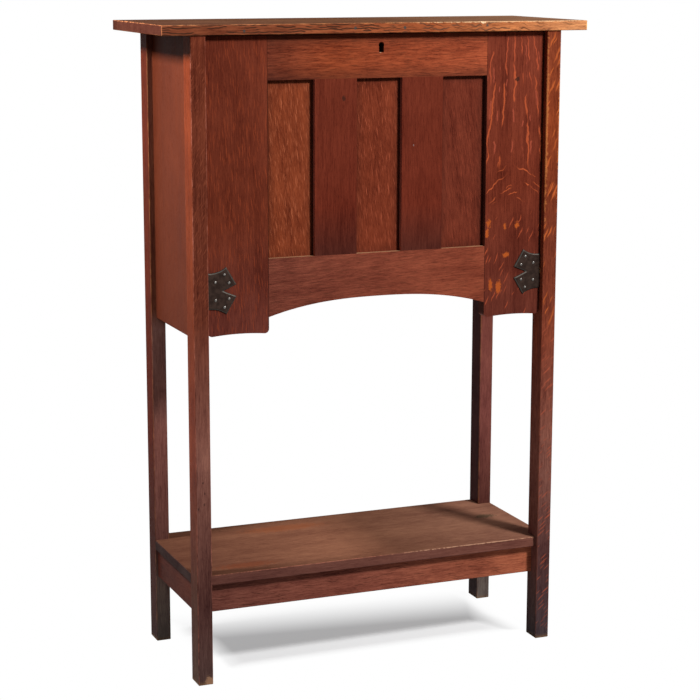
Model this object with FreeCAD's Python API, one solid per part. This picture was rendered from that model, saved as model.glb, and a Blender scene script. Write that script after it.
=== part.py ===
import FreeCAD, Part
import math
import os

# Fall-front writing desk of quarter-sawn oak: a shallow case on four tall posts, with an open shelf near
# the floor. X runs across the desk, Y from front to back, Z up. The origin is on the floor under the middle
# of the top board. All sizes are in millimetres. Paired pieces are made for the left side and mirrored.

# Carcase and top board
desk_height = 1200.0
carcase_width = 722.0           # across the outer faces of the posts
carcase_depth = 304.0           # from the front faces of the posts to their rear faces
top_thickness = 18.0
top_side_overhang = 52.0
top_front_overhang = 4.0
arris = 1.0                     # width of the small chamfer that handling leaves on open edges
joint_web = 1.5                 # wood left between two joints that meet inside a post
glue_room = 0.5                 # space left past the end of a tenon or dowel

# Posts
post_width = 28.0               # across the desk
post_depth = 40.0               # front to back
dowel_diameter = 8.0            # between post and top board
dowel_depth = 11.0              # into each of them
dowel_clearance = 0.05

# Side panels, tongued into the posts
side_inset = 10.5               # from the outer faces of the posts
side_inner_setback = 1.5        # from the inner faces of the posts, clear of the fall front's swing
side_bottom = 642.0
side_tongue_thickness = 8.0
side_tongue_length = 7.0

# Fall front: two stiles, two rails, two muntins and three panels
fall_recess = 12.5              # from the front faces of the posts
fall_thickness = 22.0
fall_side_gap = 2.0
fall_top_gap = 2.0
fall_bottom = 647.5
stile_width = 116.0
stile_end_rise = 3.5            # of the hollow curve across the stile's lower end
stile_corner_radius = 8.0
top_rail_height = 78.5
bottom_rail_end_height = 106.5  # where the bottom rail meets the stiles
arch_spring = 30.0              # from the stile's lower end to the end of the arch
arch_rise = 26.0
arch_power = 2.5                # 2 is a parabola, more is flatter in the middle
arch_spans = 12
muntin_width = 81.0
panel_count = 3
panel_thickness = 12.0          # flush with the inside of the fall front, recessed outside
panel_tongue_thickness = 4.0
panel_tongue_length = 6.0
panel_play = 0.3                # round the panels, for the movement of the wood
frame_tenon_thickness = 8.0
rail_tenon_length = 25.0
muntin_tenon_length = 12.0
tenon_haunch = 2.2              # wood between a panel's groove and a tenon
arch_shoulder = 12.0            # from the end of the arch to the bottom rail's tenon

# Hinges: plate folded round the edge of the stile, pivot pin, bush in the post, nails
pivot_above_fall_bottom = 83.5
pivot_behind_face = 6.0
plate_thickness = 2.8
plate_bevel_width = 2.2
plate_bevel_depth = 1.4
plate_fold_half = 33.2          # half the plate's height where it folds
plate_curve_reach = 18.0        # a point on the hollow upper edge, from the fold and the pivot's height
plate_curve_half = 34.6
plate_tip_reach = 35.0          # upper and lower tips
plate_tip_half = 43.0
plate_point_reach = 54.6        # the two points beside the notch
plate_point_half = 10.6
plate_notch_reach = 29.6
ear_thickness = 2.5
ear_length = 17.0               # of the folded part, behind the face of the fall front
ear_corner_radius = 5.0
pin_diameter = 7.0
pin_in_stile = 12.0
running_clearance = 0.05
bush_diameter = 12.0
bush_length = 14.0
flange_diameter = 16.0
flange_gap = 0.4                # between the bush's flange and the edge of the fall front
pin_end_gap = 0.5               # past the end of the pin in its bush
nail_head_diameter = 6.0
nail_head_height = 2.0
nail_head_rings = (0.4, 0.75, 1.0)  # shares of the head's radius at which its hammered facets meet
nail_shank_width = 2.2          # of the square shank under the head
nail_tip_width = 0.6
nail_length = 12.0
nail_places = [(31.0, 29.5), (14.0, 16.3), (39.6, 14.3)]  # from the fold, and above or below the pivot

# Lock in the top rail, bolt and strike plate
lock_offset = 3.0               # to the right of the middle
lock_plate_thickness = 2.0
lock_plate_margin = 8.0         # of the plate beside the lock case, for the screws
lock_plate_skirt = 6.0          # of the plate below the lock case
selvedge_depth = 12.0           # of the upper flange, from the inner face of the fall front
lock_case_width = 52.0
lock_case_height = 38.0
lock_wall = 1.5
bolt_width = 24.0
bolt_thickness = 5.0
bolt_height = 14.0
bolt_throw = 8.0
bolt_tail_width = 5.5
bolt_tail_length = 18.0
bolt_clearance = 0.25
key_below_top = 20.0            # of the key pin, from the fall front's upper edge
key_pin_diameter = 3.0
keyhole_radius = 5.5
keyhole_slot_width = 9.4
keyhole_slot_length = 13.0      # below the key pin
strike_width = 60.0
strike_depth = 14.0
strike_thickness = 2.0
strike_clearance = 0.5
mortise_room = 2.0              # above the bolt when it is shot

# Desk floor, stop strips and top cleats
swing_gap = 0.5                 # between the fall front and what stops it
floor_thickness = 15.0
floor_housing = 6.0             # depth of the floor's grooves in the side panels
stop_width = 12.0
stop_depth = 14.0
cleat_size = 20.0
cleat_front_space = 15.0
cleat_rear_space = 6.0
cleat_screw_count = 3

# Back: two rails and tongued boards
back_inset = 8.0                # from the rear faces of the posts
back_rail_thickness = 18.0
back_rail_height = 60.0
back_rail_lip = 4.0             # in front of the boards
back_tenon_thickness = 8.0
back_board_count = 5
back_board_thickness = 10.0
back_board_groove = 6.0         # depth to which the boards enter the rails
back_tongue_thickness = 4.0
back_tongue_length = 5.0
back_tongue_play = 0.5
back_vee = 2.0                  # chamfer along the boards' edges

# Pigeonhole gallery
gallery_setback = 105.0         # from the closed fall front
gallery_height = 215.0          # clear height of the pigeonholes
gallery_thickness = 10.0
gallery_housing = 5.0
divider_thickness = 9.0
divider_setback = 4.0           # behind the front of the gallery shelf
divider_scoop = 18.0            # depth of the hollow in a divider's front edge
letter_slot_width = 112.0
middle_shelf_height = 100.0
middle_shelf_setback = 30.0
middle_shelf_housing = 3.0

# Lower shelf and stretchers
shelf_top = 205.0
shelf_thickness = 19.0
shelf_front_recess = 10.0
shelf_rear_recess = 1.0
stretcher_height = 55.0
stretcher_thickness = 14.0
stretcher_setback = 1.5         # of the front and rear stretchers, from the inner sides of the posts
side_stretcher_inset = 5.0
stretcher_tenon_thickness = 6.0
side_tenon_length = 14.0
stretcher_shoulder = 8.0        # from the stretcher's edges to its tenon

# Countersunk wood screws
fastener_sides = 10             # small round fasteners have flat sides
screw_clearance = 0.05
lock_screw_head = 6.0
lock_screw_shank = 3.0
lock_screw_length = 12.0
lock_screw_margin = 4.0         # from the upper and lower edges of the lock plate
strike_screw_margin = 8.0       # from the ends of the strike plate
cleat_screw_head = 8.0
cleat_screw_shank = 4.2
cleat_screw_length = 30.0

# Places that follow from the sizes
V = FreeCAD.Vector
half_width = carcase_width / 2
inner_half = half_width - post_width
top_half = half_width + top_side_overhang
top_front = -(carcase_depth + top_front_overhang) / 2
post_front = top_front + top_front_overhang
post_rear = post_front + carcase_depth
side_front = post_front + post_depth
side_rear = post_rear - post_depth
top_under = desk_height - top_thickness
side_out = half_width - side_inset
side_in = inner_half + side_inner_setback
side_thickness = side_out - side_in
side_middle = (side_out + side_in) / 2

fall_half = inner_half - fall_side_gap
fall_front = post_front + fall_recess
fall_back = fall_front + fall_thickness
fall_top = top_under - fall_top_gap
frame_half = fall_half - stile_width
top_rail_bottom = fall_top - top_rail_height
arch_end = fall_bottom + arch_spring
bottom_rail_top = arch_end + bottom_rail_end_height
panel_width = (2 * frame_half - (panel_count - 1) * muntin_width) / panel_count
panel_step = panel_width + muntin_width
panel_front = fall_back - panel_thickness
tenon_shoulder = panel_tongue_length + panel_play + tenon_haunch
frame_tenon_front = fall_front + (fall_thickness - frame_tenon_thickness) / 2
frame_tenon_back = frame_tenon_front + frame_tenon_thickness

pivot_y = fall_front + pivot_behind_face
pivot_z = fall_bottom + pivot_above_fall_bottom
floor_under = pivot_z + fall_back - pivot_y + swing_gap
floor_top = floor_under + floor_thickness

back_front = post_rear - back_inset - back_rail_thickness
board_front = back_front + back_rail_lip
board_middle = board_front + back_board_thickness / 2
board_bottom = floor_top - back_board_groove
board_top = top_under - back_rail_height + back_board_groove
back_shoulder = back_board_groove + joint_web

lock_plate_half = lock_case_width / 2 + lock_plate_margin
lock_plate_bottom = fall_top - lock_plate_thickness - lock_case_height - lock_plate_skirt
lock_case_depth = lock_wall + bolt_thickness + 2 * bolt_clearance
lock_plate_front = fall_back - lock_plate_thickness
lock_case_front = lock_plate_front - lock_case_depth
bolt_back = lock_plate_front - bolt_clearance
bolt_front = bolt_back - bolt_thickness
bolt_bottom = fall_top - bolt_height
key_z = fall_top - key_below_top

gallery_front = fall_back + gallery_setback
gallery_under = floor_top + gallery_height
shelf_under = shelf_top - shelf_thickness
stretcher_bottom = shelf_under - stretcher_height
front_stretcher_face = side_front - stretcher_setback - stretcher_thickness
rear_stretcher_face = side_rear + stretcher_setback


def box(x0, x1, y0, y1, z0, z1):
    return Part.makeBox(x1 - x0, y1 - y0, z1 - z0, V(x0, y0, z0))


def rod(radius, start, end):
    return Part.makeCylinder(radius, (end - start).Length, start, end - start)


def mirrored(shape):
    return shape.mirror(V(0, 0, 0), V(1, 0, 0))


def eased(shape, width, wanted):
    """Chamfers the edges whose bounding box is wanted."""
    return shape.makeChamfer(width, [edge for edge in shape.Edges if wanted(edge.BoundBox)])


def save(name, *solids):
    """Writes one node: a single solid, or like fasteners as a group of solids."""
    os.makedirs("parts", exist_ok=True)
    pieces = [solid for shape in solids for solid in shape.Solids]
    node = pieces[0].removeSplitter() if len(pieces) == 1 else Part.makeCompound(pieces)
    node.exportStep(os.path.join("parts", name + ".step"))


def save_pair(name, left):
    save(name + "_left", left)
    save(name + "_right", mirrored(left))


def post_blank(front):
    """Square-edged left post, which the boards between the posts are notched round."""
    y0 = post_front if front else side_rear
    return box(-half_width, -inner_half, y0, y0 + post_depth, 0, top_under)


def notched(board):
    """Cuts a board that runs through to the outside round the four posts."""
    for front in (True, False):
        board = board.cut(post_blank(front)).cut(mirrored(post_blank(front)))
    return board


def flat_face(points):
    return Part.Face(Part.makePolygon(points + points[:1]))


def turned(profile, sides):
    """Turned piece along +Z with plane sides, from pairs of radius and height."""
    turns = [2 * math.pi * k / sides for k in range(sides)]
    rings = [[V(radius * math.cos(t), radius * math.sin(t), height) for t in turns]
             for radius, height in profile]
    faces = [flat_face(rings[0]), flat_face(rings[-1])]
    for lower, upper in zip(rings, rings[1:]):
        faces += [flat_face([lower[k - 1], lower[k], upper[k], upper[k - 1]]) for k in range(sides)]
    return Part.makeSolid(Part.Shell(faces))


def screw(place, direction, head, shank, length, clearance):
    """Countersunk wood screw, its head flush at the place. With a clearance it is the tool for the hole."""
    head_radius = head / 2 + clearance
    shank_radius = shank / 2 + clearance
    head_height = head_radius - shank_radius
    profile = [(head_radius, 0), (shank_radius, head_height), (shank_radius, length + clearance)]
    shape = turned(profile, fastener_sides)
    shape.Placement = FreeCAD.Placement(place, FreeCAD.Rotation(V(0, 0, 1), direction))
    return shape


# Joints shared by two pieces: each tenon is part of one piece, and the tool for its mortise in the other

def front_stretcher_tenon(front, room):
    """Left tenon of the front or rear stretcher, stopped short of the side stretcher's tenon."""
    middle = (front_stretcher_face if front else rear_stretcher_face) + stretcher_thickness / 2
    side_tenon_in = half_width - side_stretcher_inset - (stretcher_thickness + stretcher_tenon_thickness) / 2
    end = side_tenon_in - joint_web - glue_room + room
    half = stretcher_tenon_thickness / 2
    return box(-end, -inner_half, middle - half, middle + half, stretcher_bottom + stretcher_shoulder,
               shelf_under - stretcher_shoulder)


def side_stretcher_tenon(front, room):
    """Front or rear tenon of the left side stretcher."""
    middle = -(half_width - side_stretcher_inset - stretcher_thickness / 2)
    length = side_tenon_length + room
    y0, y1 = (side_front - length, side_front) if front else (side_rear, side_rear + length)
    return box(middle - stretcher_tenon_thickness / 2, middle + stretcher_tenon_thickness / 2, y0, y1,
               stretcher_bottom + stretcher_shoulder, shelf_under - stretcher_shoulder)


def side_tongue(front):
    """Front or rear tongue of the left side panel, along its whole height."""
    y0 = side_front - side_tongue_length if front else side_rear
    half = side_tongue_thickness / 2
    return box(-side_middle - half, -side_middle + half, y0, y0 + side_tongue_length, side_bottom, top_under)


def back_rail_tenon(rail_bottom, room):
    """Left tenon of one of the back's rails, stopped short of the post's dowel."""
    length = post_width / 2 - dowel_diameter / 2 - joint_web - glue_room + room
    middle = back_front + back_rail_thickness / 2
    half = back_tenon_thickness / 2
    return box(-inner_half - length, -inner_half, middle - half, middle + half, rail_bottom + back_shoulder,
               rail_bottom + back_rail_height - back_shoulder)


def board_tongue(x, play):
    """Tongue of a back board that starts at the board's right edge x."""
    return box(x, x + back_tongue_length + play, board_middle - back_tongue_thickness / 2,
               board_middle + back_tongue_thickness / 2, board_bottom, board_top)


def dowel(front, clearance, room):
    """Left dowel between post and top board."""
    x = -half_width + post_width / 2
    y = (post_front if front else side_rear) + post_depth / 2
    reach = dowel_depth + room
    return rod(dowel_diameter / 2 + clearance, V(x, y, top_under - reach), V(x, y, top_under + reach))


def rail_tenon(z0, z1, room):
    """Left tenon of one of the fall front's rails."""
    end = -frame_half - rail_tenon_length - room
    return box(end, -frame_half, frame_tenon_front, frame_tenon_back, z0, z1)


def top_rail_tenon(room):
    return rail_tenon(top_rail_bottom + tenon_shoulder, fall_top - tenon_shoulder, room)


def bottom_rail_tenon(room):
    return rail_tenon(arch_end + arch_shoulder, bottom_rail_top - tenon_shoulder, room)


def muntin_tenons(x, room):
    """Both tenons of the muntin whose left edge is at x, as one bar through it."""
    return box(x + tenon_shoulder, x + muntin_width - tenon_shoulder, frame_tenon_front, frame_tenon_back,
               bottom_rail_top - muntin_tenon_length - room, top_rail_bottom + muntin_tenon_length + room)


def panel_lefts():
    return [-frame_half + k * panel_step for k in range(panel_count)]


def muntin_lefts():
    return [x + panel_width for x in panel_lefts()[:-1]]


def panel_tongue(x, play):
    """Tongued plate of the panel whose opening starts at x. With play it is the groove for it."""
    reach = panel_tongue_length + play
    return box(x - reach, x + panel_width + reach, panel_front, panel_front + panel_tongue_thickness,
               bottom_rail_top - reach, top_rail_bottom + reach)


def grooved(piece):
    for x in panel_lefts():
        piece = piece.cut(panel_tongue(x, panel_play))
    return piece


# Carcase

def make_posts():
    for front in (True, False):
        post = eased(post_blank(front), arris, lambda b: b.ZLength > post_depth or b.ZMax < arris)
        post = post.cut(side_tongue(front)).cut(dowel(front, dowel_clearance, glue_room))
        post = post.cut(front_stretcher_tenon(front, glue_room)).cut(side_stretcher_tenon(front, glue_room))
        if front:
            post = post.cut(bush_bore())
        else:
            post = post.cut(back_rail_tenon(floor_top - back_rail_height, glue_room))
            post = post.cut(back_rail_tenon(top_under - back_rail_height, glue_room))
            post = post.cut(mirrored(board_tongue(inner_half, back_tongue_play)))
        save_pair("front_post" if front else "rear_post", post)


def make_side_panels():
    panel = box(-side_out, -side_in, side_front, side_rear, side_bottom, top_under)
    panel = eased(panel, arris, lambda b: b.ZMax < side_bottom + arris and b.YLength > side_thickness)
    panel = panel.fuse([side_tongue(True), side_tongue(False)])
    save_pair("side_panel", panel.cut(floor_blank()).cut(gallery_shelf_blank()))


def make_top_board():
    top = box(-top_half, top_half, top_front, post_rear, top_under, desk_height)
    top = eased(top, arris, lambda b: True)
    for front in (True, False):
        hole = dowel(front, dowel_clearance, glue_room)
        top = top.cut(hole).cut(mirrored(hole))
    for tool in cleat_screws(screw_clearance) + strike_screws(screw_clearance):
        top = top.cut(tool)
    top = top.cut(strike_blank()).cut(strike_slot(bolt_throw - fall_top_gap + mortise_room))
    save("top_board", top)
    dowels = [dowel(front, 0, 0) for front in (True, False)]
    save("top_dowels", *dowels, *[mirrored(shape) for shape in dowels])


def make_top_cleats():
    y0 = side_front + cleat_front_space
    y1 = side_rear - cleat_rear_space
    cleat = box(-side_in, -side_in + cleat_size, y0, y1, top_under - cleat_size, top_under)
    cleat = eased(cleat, arris,
                  lambda b: b.YLength > cleat_size and b.ZMax < top_under and b.XMin > -side_in)
    for tool in cleat_screws(screw_clearance):
        cleat = cleat.cut(tool)
    save_pair("top_cleat", cleat)
    save("cleat_screws", *cleat_screws(0))


def cleat_screws(clearance):
    """Screws up through both cleats into the top board."""
    x = side_in - cleat_size / 2
    y0 = side_front + cleat_front_space
    spacing = (side_rear - cleat_rear_space - y0) / cleat_screw_count
    places = [V(side * x, y0 + spacing * (k + 0.5), top_under - cleat_size)
              for side in (-1, 1) for k in range(cleat_screw_count)]
    size = (cleat_screw_head, cleat_screw_shank, cleat_screw_length)
    return [screw(place, V(0, 0, 1), *size, clearance) for place in places]


# Lower shelf and stretchers

def make_lower_shelf():
    shelf = box(-half_width, half_width, post_front + shelf_front_recess, post_rear - shelf_rear_recess,
                shelf_under, shelf_top)
    save("lower_shelf", notched(eased(shelf, arris, lambda b: b.ZLength < shelf_thickness / 2)))


def make_stretchers():
    for front in (True, False):
        y0 = front_stretcher_face if front else rear_stretcher_face
        rail = box(-inner_half, inner_half, y0, y0 + stretcher_thickness, stretcher_bottom, shelf_under)
        rail = eased(rail, arris,
                     lambda b: b.ZMax < stretcher_bottom + arris and b.XLength > stretcher_thickness)
        tenon = front_stretcher_tenon(front, 0)
        save("front_stretcher" if front else "rear_stretcher", rail.fuse([tenon, mirrored(tenon)]))
    x0 = -half_width + side_stretcher_inset
    rail = box(x0, x0 + stretcher_thickness, side_front, side_rear, stretcher_bottom, shelf_under)
    rail = eased(rail, arris,
                 lambda b: b.ZMax < stretcher_bottom + arris and b.YLength > stretcher_thickness)
    save_pair("side_stretcher", rail.fuse([side_stretcher_tenon(True, 0), side_stretcher_tenon(False, 0)]))


# Back

def make_back():
    board_back = board_front + back_board_thickness
    rail_back = back_front + back_rail_thickness
    groove = box(-inner_half, inner_half, board_front, board_back, board_bottom, board_top)
    for name, z1 in (("back_bottom_rail", floor_top), ("back_top_rail", top_under)):
        z0 = z1 - back_rail_height
        tenon = back_rail_tenon(z0, 0)
        rail = box(-inner_half, inner_half, back_front, rail_back, z0, z1)
        save(name, rail.cut(groove).fuse([tenon, mirrored(tenon)]))
    width = 2 * inner_half / back_board_count
    for k in range(back_board_count):
        x = -inner_half + k * width
        board = box(x, x + width, board_front, board_front + back_board_thickness, board_bottom, board_top)
        board = eased(board, back_vee, lambda b: b.ZLength > width)
        board = board.fuse(board_tongue(x + width, 0))
        if k == 0:
            board = board.fuse(mirrored(board_tongue(-x, 0)))
        else:
            board = board.cut(board_tongue(x, back_tongue_play))
        save("back_board_%d" % (k + 1), board)


# Desk floor, stop strips and gallery

def floor_blank():
    half = side_in + floor_housing
    return box(-half, half, fall_back + swing_gap, back_front, floor_under, floor_top)


def make_desk_floor():
    save("desk_floor", notched(floor_blank()))


def make_fall_stops():
    y0 = fall_back + swing_gap
    stop = box(-inner_half, -inner_half + stop_width, y0, y0 + stop_depth, floor_top, top_under)
    save_pair("fall_stop", eased(stop, arris, lambda b: b.ZLength > stop_depth and b.XMin > -inner_half))


def gallery_shelf_blank():
    half = side_in + gallery_housing
    return box(-half, half, gallery_front, board_front, gallery_under, gallery_under + gallery_thickness)


def middle_shelf():
    half = side_in - 2 * letter_slot_width - 2 * divider_thickness + middle_shelf_housing
    z = floor_top + middle_shelf_height
    return box(-half, half, gallery_front + middle_shelf_setback, board_front, z, z + divider_thickness)


def make_gallery():
    shelf = eased(gallery_shelf_blank(), arris,
                  lambda b: b.YMax < gallery_front + arris and b.XLength > side_in)
    save("gallery_shelf", notched(shelf))
    save("gallery_middle_shelf", middle_shelf())
    front = gallery_front + divider_setback
    half_height = gallery_height / 2
    scoop_radius = (half_height ** 2 + divider_scoop ** 2) / (2 * divider_scoop)
    scoop_y = front + divider_scoop - scoop_radius
    scoop_z = floor_top + half_height
    for name, slots in (("outer", 1), ("inner", 2)):
        x1 = -side_in + slots * (letter_slot_width + divider_thickness)
        x0 = x1 - divider_thickness
        divider = box(x0, x1, front, board_front, floor_top, gallery_under)
        divider = divider.cut(rod(scoop_radius, V(x0, scoop_y, scoop_z), V(x1, scoop_y, scoop_z)))
        save_pair("gallery_divider_" + name, divider.cut(middle_shelf()))


# Fall front

def make_stiles():
    stile = box(-fall_half, -frame_half, fall_front, fall_back, fall_bottom, fall_top)
    hollow_radius = (stile_width ** 2 / 4 + stile_end_rise ** 2) / (2 * stile_end_rise)
    hollow_x = -(fall_half + frame_half) / 2
    hollow_z = fall_bottom + stile_end_rise - hollow_radius
    hollow = rod(hollow_radius, V(hollow_x, fall_front, hollow_z), V(hollow_x, fall_back, hollow_z))
    stile = stile.cut(hollow)
    corners = [edge for edge in stile.Edges
               if edge.BoundBox.ZMax < fall_bottom + stile_end_rise and edge.BoundBox.XLength < arris]
    stile = stile.makeFillet(stile_corner_radius, corners)
    stile = grooved(stile).cut(top_rail_tenon(glue_room)).cut(bottom_rail_tenon(glue_room))
    stile = stile.cut(ear_blank()).cut(pivot_pin(running_clearance))
    for tool in hinge_nails(screw_clearance):
        stile = stile.cut(tool)
    save_pair("fall_stile", stile)


def make_top_rail():
    rail = box(-frame_half, frame_half, fall_front, fall_back, top_rail_bottom, fall_top)
    tenon = top_rail_tenon(0)
    rail = grooved(rail.fuse([tenon, mirrored(tenon)]))
    for x in muntin_lefts():
        rail = rail.cut(muntin_tenons(x, glue_room))
    rail = rail.cut(lock_plate_blank()).cut(lock_case_blank()).cut(keyhole(fall_front))
    for tool in lock_screws(screw_clearance):
        rail = rail.cut(tool)
    save("fall_top_rail", rail)


def make_bottom_rail():
    """The lower edge is a flattened arch between the stiles."""
    points = []
    for k in range(arch_spans + 1):
        share = 2 * k / arch_spans - 1
        height = arch_end + arch_rise * (1 - abs(share) ** arch_power)
        points.append(V(share * frame_half, fall_front, height))
    arch = Part.BSplineCurve()
    arch.interpolate(points)
    right = V(frame_half, fall_front, bottom_rail_top)
    left = V(-frame_half, fall_front, bottom_rail_top)
    sides = Part.makePolygon([points[-1], right, left, points[0]])
    outline = Part.Wire([arch.toShape()] + sides.Edges)
    rail = Part.Face(outline).extrude(V(0, fall_thickness, 0))
    tenon = bottom_rail_tenon(0)
    rail = grooved(rail.fuse([tenon, mirrored(tenon)]))
    for x in muntin_lefts():
        rail = rail.cut(muntin_tenons(x, glue_room))
    save("fall_bottom_rail", rail)


def make_muntins():
    for k, x in enumerate(muntin_lefts()):
        muntin = box(x, x + muntin_width, fall_front, fall_back, bottom_rail_top, top_rail_bottom)
        save("fall_muntin_%d" % (k + 1), grooved(muntin.fuse(muntin_tenons(x, 0))))


def make_panels():
    for k, x in enumerate(panel_lefts()):
        field = box(x + panel_play, x + panel_width - panel_play, panel_front, fall_back,
                    bottom_rail_top + panel_play, top_rail_bottom - panel_play)
        save("fall_panel_%d" % (k + 1), field.fuse(panel_tongue(x, 0)))


# Hinges

def plate_outline(y):
    """Outline of the left plate's face at depth y. It runs past the fold, where it is cut off later."""
    fold = -fall_half
    start = fold - 2 * plate_bevel_width

    def at(reach, height):
        return V(fold + reach, y, pivot_z + height)

    upper = [at(0, plate_fold_half), at(plate_curve_reach, plate_curve_half),
             at(plate_tip_reach, plate_tip_half)]
    lower = [at(plate_tip_reach, -plate_tip_half), at(plate_curve_reach, -plate_curve_half),
             at(0, -plate_fold_half)]
    tips = [upper[-1], at(plate_point_reach, plate_point_half), at(plate_notch_reach, 0),
            at(plate_point_reach, -plate_point_half), lower[0]]
    tail = [lower[-1], V(start, y, pivot_z - plate_fold_half), V(start, y, pivot_z + plate_fold_half),
            upper[0]]
    edges = [Part.Arc(*upper).toShape()] + Part.makePolygon(tips).Edges
    edges += [Part.Arc(*lower).toShape()] + Part.makePolygon(tail).Edges
    return Part.Wire(edges)


def ear_blank():
    """The part of the plate that is folded back along the stile's edge and let into it."""
    ear = box(-fall_half, -fall_half + ear_thickness, fall_front, fall_front + ear_length,
              pivot_z - plate_fold_half, pivot_z + plate_fold_half)
    ends = [edge for edge in ear.Edges
            if edge.BoundBox.YMin > fall_front and edge.BoundBox.XLength > ear_thickness / 2]
    return ear.makeFillet(ear_corner_radius, ends)


def make_hinge_plates():
    base = plate_outline(fall_front)
    straight = plate_thickness - plate_bevel_depth
    foot = Part.Face(base).extrude(V(0, -straight, 0))
    shoulder = plate_outline(fall_front - straight)
    crown = shoulder.makeOffset2D(-plate_bevel_width, 2)
    crown.translate(V(0, -plate_bevel_depth, 0))
    leaf = foot.fuse(Part.makeLoft([shoulder, crown], True, True))
    leaf = leaf.common(box(-fall_half, 0, fall_front - plate_thickness, fall_front, fall_bottom, fall_top))
    plate = leaf.fuse(ear_blank()).cut(pivot_pin(running_clearance))
    for tool in hinge_nails(screw_clearance):
        plate = plate.cut(tool)
    save_pair("hinge_plate", plate)
    nails = hinge_nails(0)
    save("hinge_nails_left", *nails)
    save("hinge_nails_right", *[mirrored(nail) for nail in nails])


def hinge_nail(clearance):
    """Wrought nail along +Y with a hammered domed head, the underside of its head at the origin."""
    radius = nail_head_diameter / 2
    sphere = (radius ** 2 + nail_head_height ** 2) / (2 * nail_head_height)
    base = sphere - nail_head_height
    dome = [(share * radius, math.sqrt(sphere ** 2 - (share * radius) ** 2) - base)
            for share in nail_head_rings]
    corner = math.sqrt(0.5)
    shank = (nail_shank_width + 2 * clearance) * corner
    tip = (nail_tip_width + 2 * clearance) * corner
    nail = turned(dome, fastener_sides).fuse(turned([(shank, 0), (tip, -nail_length - clearance)], 4))
    nail.rotate(V(0, 0, 0), V(1, 0, 0), 90)
    return nail


def hinge_nails(clearance):
    """Nails of the left plate."""
    nails = []
    for reach, height in nail_places:
        for side in (1, -1):
            nail = hinge_nail(clearance)
            nail.translate(V(-fall_half + reach, fall_front - plate_thickness, pivot_z + side * height))
            nails.append(nail)
    return nails


def pivot_pin(clearance):
    """Left pivot pin, from inside the stile through the ear into the post's bush."""
    start = V(-fall_half + ear_thickness + pin_in_stile, pivot_y, pivot_z)
    end = V(-inner_half - bush_length + pin_end_gap, pivot_y, pivot_z)
    return rod(pin_diameter / 2 + clearance, start, end)


def bush_bore():
    start = V(-inner_half, pivot_y, pivot_z)
    return rod(bush_diameter / 2, start, start - V(bush_length, 0, 0))


def make_pivots():
    save_pair("pivot_pin", pivot_pin(0))
    face = V(-inner_half, pivot_y, pivot_z)
    flange = rod(flange_diameter / 2, face, face + V(fall_side_gap - flange_gap, 0, 0))
    bore_radius = pin_diameter / 2 + running_clearance
    bore = rod(bore_radius, face - V(bush_length, 0, 0), face + V(fall_side_gap, 0, 0))
    save_pair("pivot_bush", bush_bore().fuse(flange).cut(bore))


# Lock

def keyhole(y0):
    """Round hole with a slot below it, from y0 to the lock plate."""
    head = rod(keyhole_radius, V(lock_offset, y0, key_z), V(lock_offset, lock_plate_front, key_z))
    half = keyhole_slot_width / 2
    slot_bottom = key_z - keyhole_slot_length
    slot = box(lock_offset - half, lock_offset + half, y0, lock_plate_front, slot_bottom, key_z)
    return head.fuse(slot)


def lock_plate_blank():
    """Plate flush with the inside of the fall front, with its selvedge along the upper edge."""
    left = lock_offset - lock_plate_half
    right = lock_offset + lock_plate_half
    plate = box(left, right, lock_plate_front, fall_back, lock_plate_bottom, fall_top)
    selvedge_bottom = fall_top - lock_plate_thickness
    return plate.fuse(box(left, right, fall_back - selvedge_depth, fall_back, selvedge_bottom, fall_top))


def lock_case_blank():
    half = lock_case_width / 2
    top = fall_top - lock_plate_thickness
    return box(lock_offset - half, lock_offset + half, lock_case_front, lock_plate_front,
               top - lock_case_height, top)


def bolt_channel():
    half = bolt_width / 2 + bolt_clearance
    return box(lock_offset - half, lock_offset + half, bolt_front - bolt_clearance, lock_plate_front,
               bolt_bottom, fall_top)


def lock_screws(clearance):
    """Screws at the corners of the lock plate, beside the case."""
    x = (lock_case_width + lock_plate_margin) / 2
    lower = lock_plate_bottom + lock_screw_margin
    upper = fall_top - lock_plate_thickness - 2 * lock_screw_margin
    places = [V(lock_offset + side * x, fall_back, z) for side in (-1, 1) for z in (lower, upper)]
    size = (lock_screw_head, lock_screw_shank, lock_screw_length)
    return [screw(place, V(0, -1, 0), *size, clearance) for place in places]


def make_lock():
    pin_back = V(lock_offset, lock_plate_front, key_z)
    pin_front = V(lock_offset, lock_case_front, key_z)
    pin = rod(key_pin_diameter / 2, pin_back, pin_front)
    plate = lock_plate_blank().cut(bolt_channel()).fuse(pin)
    for tool in lock_screws(screw_clearance):
        plate = plate.cut(tool)
    save("lock_plate", plate)
    half = lock_case_width / 2 - lock_wall
    case = lock_case_blank()
    case_bottom = fall_top - lock_plate_thickness - lock_case_height
    chamber = box(lock_offset - half, lock_offset + half, lock_case_front + lock_wall, lock_plate_front,
                  case_bottom + lock_wall, bolt_bottom)
    save("lock_case", case.cut(chamber).cut(bolt_channel()).cut(keyhole(lock_case_front)))
    right = lock_offset + bolt_width / 2
    head = box(right - bolt_width, right, bolt_front, bolt_back, bolt_bottom, fall_top)
    tail_bottom = bolt_bottom - bolt_tail_length
    tail = box(right - bolt_tail_width, right, bolt_front, bolt_back, tail_bottom, bolt_bottom)
    save("lock_bolt", head.fuse(tail))
    save("lock_screws", *lock_screws(0))


def strike_blank():
    middle = (bolt_front + bolt_back) / 2
    return box(lock_offset - strike_width / 2, lock_offset + strike_width / 2, middle - strike_depth / 2,
               middle + strike_depth / 2, top_under, top_under + strike_thickness)


def strike_slot(height):
    half = bolt_width / 2 + strike_clearance
    return box(lock_offset - half, lock_offset + half, bolt_front - strike_clearance,
               bolt_back + strike_clearance, top_under, top_under + height)


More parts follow.
